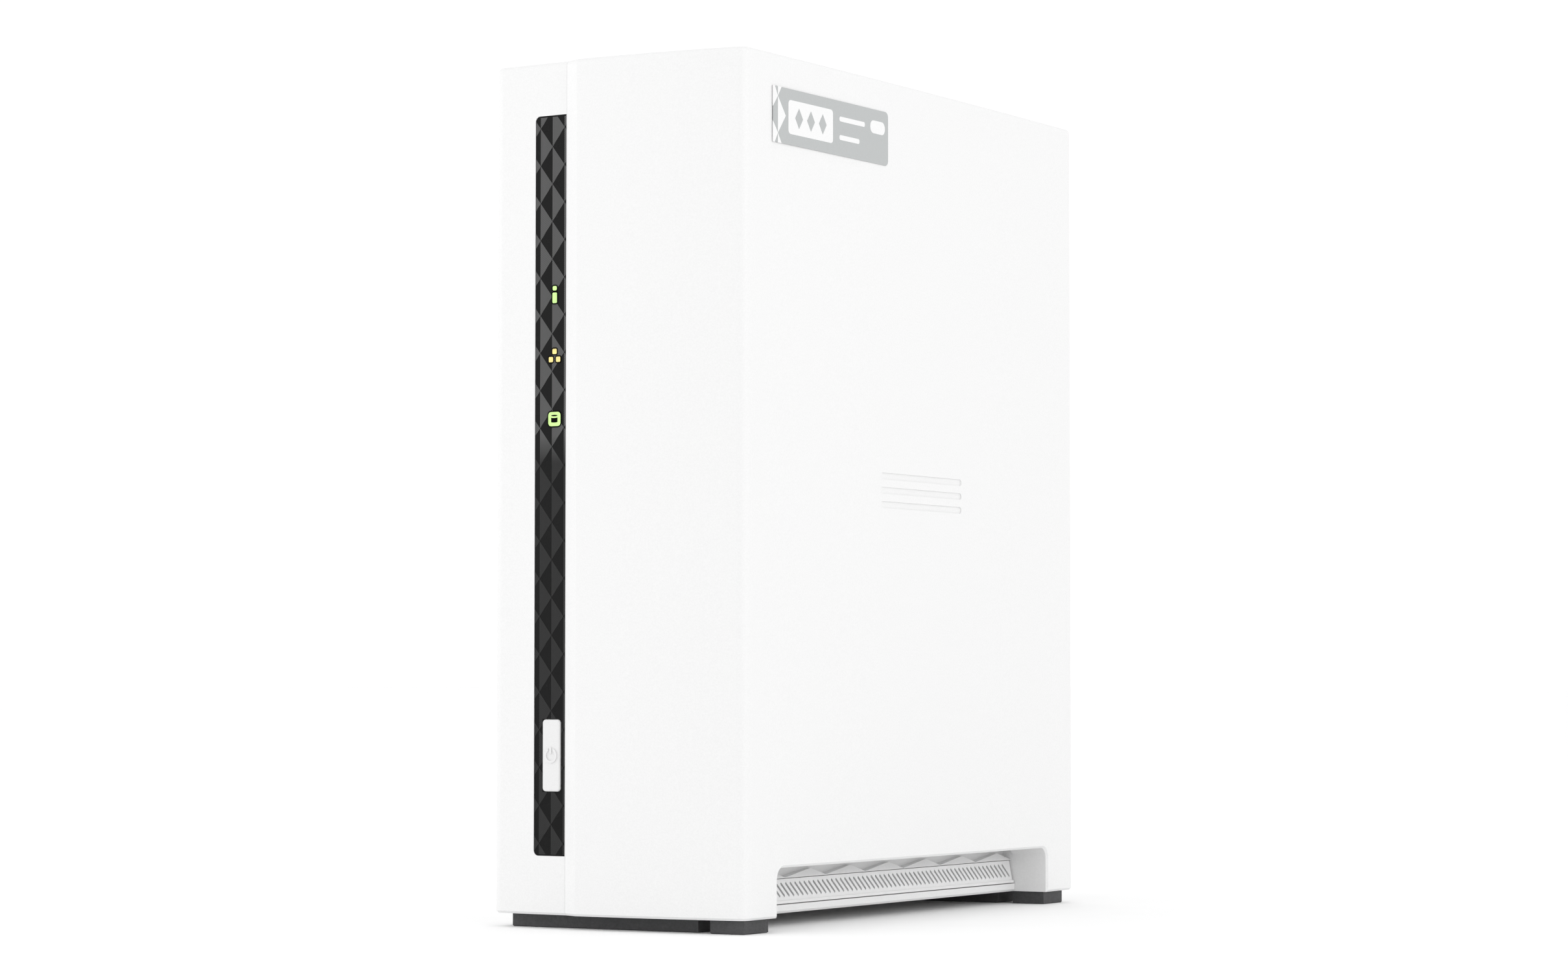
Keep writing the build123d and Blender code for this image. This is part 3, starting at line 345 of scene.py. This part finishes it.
# ---------------------------------------------------------------- the strip window's pattern
TILT = math.radians(2.9)  # the housing's front leans back from the seam to the left
SEAM = Vector((-12.6, -76.4, 0))  # where the front's two faces meet
ALONG = Vector((math.cos(TILT), -math.sin(TILT), 0))
OUT = Vector((-math.sin(TILT), -math.cos(TILT), 0))
WINDOW_FACE = -0.1  # the window lies this far behind the front
LEFT, RIGHT, LOW, HIGH = -8.4, -0.2, 16.0, 176.6
BUTTON_LEFT, BUTTON_RIGHT, BUTTON_LOW, BUTTON_HIGH = -6.2, -1.1, 29.5, 45.4
# the rectangles that cover the window round the button, as (left, right, low, high)
WINDOW_PARTS = [
    (LEFT, RIGHT, BUTTON_HIGH, HIGH),
    (LEFT, RIGHT, LOW, BUTTON_LOW),
    (LEFT, BUTTON_LEFT, BUTTON_LOW, BUTTON_HIGH),
    (BUTTON_RIGHT, RIGHT, BUTTON_LOW, BUTTON_HIGH),
]
# the lozenge lattice, and its fine lines measured straight up
CENTRE, HALF_WIDE, HALF_TALL, FIRST_POINT = -3.9, 3.22, 4.1, 170.1
LINE_PITCH, LINE_TALL, LINE_OVER = 0.474, 0.24, 0.1
# how far each layer reaches out of the window's face, each sunk a little into the one below
FIELD_LAYER, LINE_LAYER = (0.003, 0.02), (0.018, 0.04)
HALO_LAYER, FACE_LAYER, SYMBOL_LAYER = (0.035, 0.06), (0.05, 0.085), (0.08, 0.1)


def on_window(u, v, level):
    """A point on the strip window: u right from the seam, v up, level out of its face."""
    return SEAM + ALONG * u + Vector((0, 0, v)) + OUT * (WINDOW_FACE + level)


def add_in_window(mesh, outline, layer):
    """A slab on the window's face, cut to the window round the button."""
    for left, right, low, high in WINDOW_PARTS:
        tests = (
            lambda p: p[0] - left,
            lambda p: right - p[0],
            lambda p: p[1] - low,
            lambda p: high - p[1],
        )
        part = cut(outline, tests)
        if part:
            prism(mesh, part, on_window, *layer)


def half_lozenges():
    """The left edge and the middle height of every lozenge's right half."""
    for column in (-2, -1, 0, 1):
        u = CENTRE + column * HALF_WIDE
        shift = HALF_TALL if column % 2 else 0.0
        for row in range(-2, 21):
            yield u, FIRST_POINT - HALF_TALL - 2 * HALF_TALL * row + shift


def add_fields(mesh):
    for u, middle in half_lozenges():
        half = [(u, middle - HALF_TALL), (u + HALF_WIDE, middle), (u, middle + HALF_TALL)]
        add_in_window(mesh, half, FIELD_LAYER)


def cut_to_half(outline, u, middle):
    """Cuts an outline to the half lozenge that starts at u, by its three edges."""
    slope = HALF_TALL / HALF_WIDE
    tests = (
        lambda p: p[0] - u,
        lambda p: HALF_TALL - (p[1] - middle) - (p[0] - u) * slope,
        lambda p: HALF_TALL + (p[1] - middle) - (p[0] - u) * slope,
    )
    return cut(outline, tests)


def add_lines(mesh):
    """Fine lines at 45 degrees, cut to each half lozenge and in step from one to the next."""
    for u, middle in half_lozenges():
        left, right = u - LINE_OVER, u + HALF_WIDE + LINE_OVER
        first = math.floor((middle - HALF_TALL - right) / LINE_PITCH)
        last = math.ceil((middle + HALF_TALL - left) / LINE_PITCH)
        for number in range(first, last + 1):
            rise = number * LINE_PITCH
            top = rise + LINE_TALL
            band = [(left, left + rise), (right, right + rise), (right, right + top), (left, left + top)]
            add_in_window(mesh, cut_to_half(band, u, middle), LINE_LAYER)


piece("window_fields", add_fields, EXTRA["window_field"], "chassis")
piece("window_lines", add_lines, EXTRA["window_lines"], "chassis")

# ---------------------------------------------------------------- the strip window's lights
ICON_X, HALO = -3.2, 0.3
SQUARE = (1.15, 1.15, 0.25)
# each light: name, slot, and its shapes as (across, height, wide, tall, corner radius)
LIGHTS = [
    ("status", "light_green", [(0, 139.05, 1.1, 0.95, 0.3), (0, 136.95, 1.2, 2.3, 0.25)]),
    ("network", "light_amber", [(0, 125.25, *SQUARE), (-0.98, 123.5, *SQUARE), (0.98, 123.5, *SQUARE)]),
    ("drive", "light_green", [(0, 110.5, 3.3, 3.1, 0.75)]),
]
DRUM_HALF, LID_TALL, DRUM_SAG = 0.86, 0.17, 0.11
LID_MIDDLE, DRUM_TOP, DRUM_FOOT = 111.25, 110.84, 109.84
HALF_TURN_STEPS = 12


def add_light_shapes(mesh, shapes, grow, layer):
    for across, height, wide, tall, radius in shapes:
        outline = rounded(ICON_X + across, height, wide + 2 * grow, tall + 2 * grow, radius + grow)
        prism(mesh, outline, on_window, *layer)


def add_light(light, slot, shapes):
    """A lit shape with a dark margin round it that interrupts the pattern."""

    def add_halo(mesh):
        add_light_shapes(mesh, shapes, HALO, HALO_LAYER)

    def add_face(mesh):
        add_light_shapes(mesh, shapes, 0, FACE_LAYER)

    piece(f"{light}_halo", add_halo, EXTRA["margin_black"], "chassis")
    piece(f"{light}_face", add_face, MATERIALS[slot], "chassis")


def add_drum_symbol(mesh):
    """A stacked disc seen from a little above: an oval lid and the drum below it."""
    full = [math.pi * i / HALF_TURN_STEPS for i in range(2 * HALF_TURN_STEPS)]
    half = full[: HALF_TURN_STEPS + 1]
    lid = [(ICON_X + DRUM_HALF * math.cos(t), LID_MIDDLE + LID_TALL * math.sin(t)) for t in full]
    top = [(ICON_X + DRUM_HALF * math.cos(t), DRUM_TOP - DRUM_SAG * math.sin(t)) for t in half]
    foot = [(ICON_X - DRUM_HALF * math.cos(t), DRUM_FOOT - DRUM_SAG * math.sin(t)) for t in half]
    for outline in (lid, top + foot):
        prism(mesh, outline, on_window, *SYMBOL_LAYER)


for row in LIGHTS:
    add_light(*row)
piece("drive_symbol", add_drum_symbol, EXTRA["margin_black"], "chassis")

# ---------------------------------------------------------------- the side label's plain print
HALF_W, HALF_D, CROWN = 33.1, 78.1, 0.8  # the cover's side, which falls by CROWN at its ends
LABEL_FIRST, LABEL_LAST = corners_of("side_label")
LABEL_FRONT, LABEL_MIDDLE = LABEL_FIRST.y, (LABEL_FIRST.z + LABEL_LAST.z) / 2
# the lozenge band at the label's front end
NECK, POINT, NECK_TALL = LABEL_FRONT + 1.93, LABEL_FRONT + 5.16, 4.0
NECK_AHEAD, NECK_BEHIND, EDGE_TALL = 1.3, 1.5, 1.6
# the box, two lines and a pill, as (y, height above the middle, wide, tall, corner radius)
LABEL_SHAPES = [
    (-49.0, 0.0, 18.8, 7.4, 0.9),
    (-31.2, 2.1, 11.2, 1.1, 0.5),
    (-32.4, -2.0, 8.8, 1.1, 0.5),
    (-19.9, 2.1, 6.6, 2.9, 1.4),
]
# the box's lozenges
MARKS, MARK_HALF_WIDE, MARK_HALF_TALL = (-54.0, -49.0, -44.0), 1.6, 2.2
PRINT_LAYER, MARK_LAYER, PRINT_OVER = (0.0, 0.17), (0.165, 0.2), 0.06


def on_side(y, z, level):
    """A point on the cover's crowned side, level millimetres off it."""
    return Vector((HALF_W - CROWN * (y / HALF_D) ** 2 + level, y, z))


def add_label_print(mesh):
    """A lozenge band at the front end, then a box, lines and a pill: shapes only, no lettering."""
    edge = LABEL_FRONT - PRINT_OVER
    shapes = [[(NECK, LABEL_MIDDLE - NECK_TALL), (POINT, LABEL_MIDDLE), (NECK, LABEL_MIDDLE + NECK_TALL)]]
    for way, limit in ((1, LABEL_LAST.z + PRINT_OVER), (-1, LABEL_FIRST.z - PRINT_OVER)):
        neck = (NECK, LABEL_MIDDLE + way * NECK_TALL)
        shapes.append([neck, (NECK + NECK_BEHIND, limit), (NECK, limit)])
        shapes.append([(edge, LABEL_MIDDLE + way * EDGE_TALL), neck, (NECK - NECK_AHEAD, limit), (edge, limit)])
    for y, rise, wide, tall, radius in LABEL_SHAPES:
        shapes.append(rounded(y, LABEL_MIDDLE + rise, wide, tall, radius))
    for outline in shapes:
        prism(mesh, outline, on_side, *PRINT_LAYER)


def add_label_lozenges(mesh):
    for y in MARKS:
        outline = [
            (y - MARK_HALF_WIDE, LABEL_MIDDLE),
            (y, LABEL_MIDDLE - MARK_HALF_TALL),
            (y + MARK_HALF_WIDE, LABEL_MIDDLE),
            (y, LABEL_MIDDLE + MARK_HALF_TALL),
        ]
        prism(mesh, outline, on_side, *MARK_LAYER)


piece("label_print", add_label_print, EXTRA["print_white"], "cover")
piece("label_lozenges", add_label_lozenges, MATERIALS["label_grey"], "cover")

# ---------------------------------------------------------------- sockets at the rear
JACK_Z = middle_of("network_jack").z
FAST_USB_Z, USB_Z = middle_of("fast_usb_port").z, middle_of("usb_port").z
# footprints as two (x, y) corners
JACK_ARM, JACK_LEG = ((-22.9, 64.0), (-22.5, 74.2)), ((-22.9, 63.6), (-20.3, 64.0))
USB_TONGUE, USB_STRIP = ((-22.28, 60.6), (-20.22, 73.65)), ((-22.4, 64.0), (-22.25, 73.0))


def add_bar(mesh, footprint, z, half_tall, edge):
    """A bar on a footprint, centred on a height."""
    low, high = footprint
    chip(mesh, (*low, z - half_tall), (*high, z + half_tall), edge)


def add_jack_contacts(mesh):
    """Eight wires, each a long arm with a short leg at its inner end."""
    for z in spaced(JACK_Z, 8, 1.02):
        add_bar(mesh, JACK_ARM, z, 0.2, 0.05)
        add_bar(mesh, JACK_LEG, z, 0.2, 0.05)


def add_usb_insert(mesh, middle):
    add_bar(mesh, USB_TONGUE, middle, 5.58, 0.2)


def add_usb_contacts(mesh):
    for middle in (FAST_USB_Z, USB_Z):
        for z in spaced(middle, 4, 2.4):
            add_bar(mesh, USB_STRIP, z, 0.5, 0.04)


piece("jack_contacts", add_jack_contacts, EXTRA["gold"], "chassis")
piece("fast_usb_insert", lambda m: add_usb_insert(m, FAST_USB_Z), EXTRA["insert_blue"], "chassis")
piece(
    "usb_insert",
    lambda m: add_usb_insert(m, USB_Z),
    MATERIALS["connector_black"],
    "chassis",
)
piece("usb_contacts", add_usb_contacts, EXTRA["gold"], "chassis")


# ---------------------------------------------------------------- the main board's small parts
BOARD_FACE = corners_of("main_board")[1].x
CHIP_SIZES = ((1.6, 0.8), (1.0, 0.5), (2.0, 1.25))  # length and width of the usual chip parts
CHIP_TALL, CHIP_EDGE = 0.5, 0.06
EMPTY_SHARE, LINE_SQUASH, SEED = 0.22, 0.9, 7
# each group of small parts: its first y and z, columns, lines and pitch
PART_GROUPS = [
    (-20, 58, 2, 8, 3.0),
    (19, 56, 3, 9, 3.0),
    (-14, 88, 7, 3, 3.0),
    (-52, 62, 5, 7, 3.0),
    (30, 84, 5, 5, 3.0),
    (-12, 40, 8, 4, 3.2),
]


def add_small_parts(mesh):
    """Groups of chip resistors and capacitors on the board, with some places left empty."""
    draw = random.Random(SEED)
    for y, z, columns, lines, pitch in PART_GROUPS:
        for column in range(columns):
            for line in range(lines):
                if draw.random() < EMPTY_SHARE:
                    continue
                cy, cz = y + column * pitch, z + line * pitch * LINE_SQUASH
                length, width = draw.choice(CHIP_SIZES)
                low = (BOARD_FACE, cy - length / 2, cz - width / 2)
                high = (BOARD_FACE + CHIP_TALL, cy + length / 2, cz + width / 2)
                chip(mesh, low, high, CHIP_EDGE)


piece("small_parts", add_small_parts, EXTRA["ceramic"], "chassis")

# ---------------------------------------------------------------- the fan's blades and cup
FAN_Z = middle_of("fan_frame").z
ROTOR_Y = middle_of("fan_frame").y - 1.0  # the rotor's middle, a little ahead of its frame's
BLADES, SPANS, CHORDS, LATHE_STEPS = 7, 8, 8, 48
# along a blade from its root to its tip
ROOT_R, TIP_R = 12.9, 27.4
ROOT_PITCH, TIP_PITCH = 44, 28
ROOT_CHORD, TIP_CHORD = 11.5, 14.5
SWEEP, BOW, HALF_THICK = 0.10, 1.1, 0.55
# the cup's section as (radius, depth)
CUP = [(0, -5.2), (11.6, -5.2), (12.7, -4.6), (13.0, -3.9), (13.0, 5.3), (11.8, 5.3), (11.8, -4.1), (0, -4.1)]


def on_fan(radius, turn, y):
    """A point at a radius and a turn about the fan's axis."""
    return (radius * math.cos(turn), y, FAN_Z + radius * math.sin(turn))


def blade_row(number, share):
    """A blade's middle sheet at a share of its span, as (radius, turn, y) from edge to edge."""
    radius = ROOT_R + (TIP_R - ROOT_R) * share
    pitch = math.radians(ROOT_PITCH + (TIP_PITCH - ROOT_PITCH) * share)
    row = []
    for chord in range(CHORDS + 1):
        along = (chord / CHORDS - 0.5) * (ROOT_CHORD + (TIP_CHORD - ROOT_CHORD) * share)
        bow = BOW * (1 - (2 * chord / CHORDS - 1) ** 2)
        turn = 2 * math.pi * number / BLADES + along * math.cos(pitch) / radius + SWEEP * share
        row.append((radius, turn, ROTOR_Y + along * math.sin(pitch) - bow * math.cos(pitch)))
    return row


def add_blade(mesh, number):
    """A curved blade that twists from the cup to the tip: a thin closed sheet."""
    grid = [blade_row(number, span / SPANS) for span in range(SPANS + 1)]
    lower, upper = (
        [[mesh.verts.new(on_fan(radius, turn, y + side)) for radius, turn, y in row] for row in grid]
        for side in (-HALF_THICK, HALF_THICK)
    )
    for i in range(SPANS):
        for j in range(CHORDS):
            mesh.faces.new((lower[i][j], lower[i][j + 1], lower[i + 1][j + 1], lower[i + 1][j]))
            mesh.faces.new((upper[i][j], upper[i + 1][j], upper[i + 1][j + 1], upper[i][j + 1]))
    rim = [(i, 0) for i in range(SPANS)] + [(SPANS, j) for j in range(CHORDS)]
    rim += [(i, CHORDS) for i in range(SPANS, 0, -1)] + [(0, j) for j in range(CHORDS, 0, -1)]
    for (i, j), (ni, nj) in zip(rim, rim[1:] + rim[:1]):
        mesh.faces.new((lower[i][j], lower[ni][nj], upper[ni][nj], upper[i][j]))


def add_lathe(mesh, profile):
    """Turns a profile of (radius, depth) about the fan's axis."""
    turns = [2 * math.pi * i / LATHE_STEPS for i in range(LATHE_STEPS)]
    rings = []
    for radius, depth in profile:
        ring = turns if radius else turns[:1]
        rings.append([mesh.verts.new(on_fan(radius, turn, ROTOR_Y + depth)) for turn in ring])
    for one, two in zip(rings, rings[1:]):
        for i in range(LATHE_STEPS):
            j = (i + 1) % LATHE_STEPS
            corners = [one[i % len(one)], one[j % len(one)], two[j % len(two)], two[i % len(two)]]
            mesh.faces.new(list(dict.fromkeys(corners)))


def add_fan_blades(mesh):
    for number in range(BLADES):
        add_blade(mesh, number)
    add_lathe(mesh, CUP)


piece("fan_blades", add_fan_blades, MATERIALS["fan_black"], "fan_rotor", ["fan_rotor"])


# ---------------------------------------------------------------- studio
FLOOR_REACH, DAYLIGHT = 40.0, 1.04
FRONT_AIM = (0, -0.07, 0.09)
# each area light: name, place, aim and size in metres, power in watts
AREA_LIGHTS = [
    ("left", (-1.6, -0.7, 0.35), FRONT_AIM, (0.8, 0.8), 4.3),
    ("front", (-0.9, -1.4, 0.4), FRONT_AIM, (0.8, 0.8), 1.2),
    ("side", (1.6, -0.4, 0.5), (0.03, 0, 0.09), (1.2, 0.9), 4.2),
]


def add_area(name, place, aim, size, power):
    data = bpy.data.lights.new(name, "AREA")
    data.shape = "RECTANGLE"
    data.size, data.size_y = size
    data.energy = power
    light = bpy.data.objects.new(name, data)
    light.location = place
    light.rotation_euler = (Vector(aim) - Vector(place)).to_track_quat("-Z", "Y").to_euler()
    bpy.context.scene.collection.objects.link(light)


def add_floor():
    mesh = bpy.data.meshes.new("floor")
    signs = [(-1, -1), (1, -1), (1, 1), (-1, 1)]
    mesh.from_pydata([(x * FLOOR_REACH, y * FLOOR_REACH, 0) for x, y in signs], [], [(0, 1, 2, 3)])
    floor = bpy.data.objects.new("floor", mesh)
    bpy.context.scene.collection.objects.link(floor)
    mesh.materials.append(plastic("floor_pale", (0.97, 0.97, 0.97), 0.9, 60, 0.0, 0.01))


def add_studio():
    add_floor()
    world = bpy.data.worlds.new("studio")
    bpy.context.scene.world = world
    world.use_nodes = True
    background = world.node_tree.nodes["Background"]
    background.inputs["Color"].default_value = (1, 1, 1, 1)
    background.inputs["Strength"].default_value = DAYLIGHT
    for row in AREA_LIGHTS:
        add_area(*row)


add_studio()
bpy.context.scene.view_settings.view_transform = "Standard"
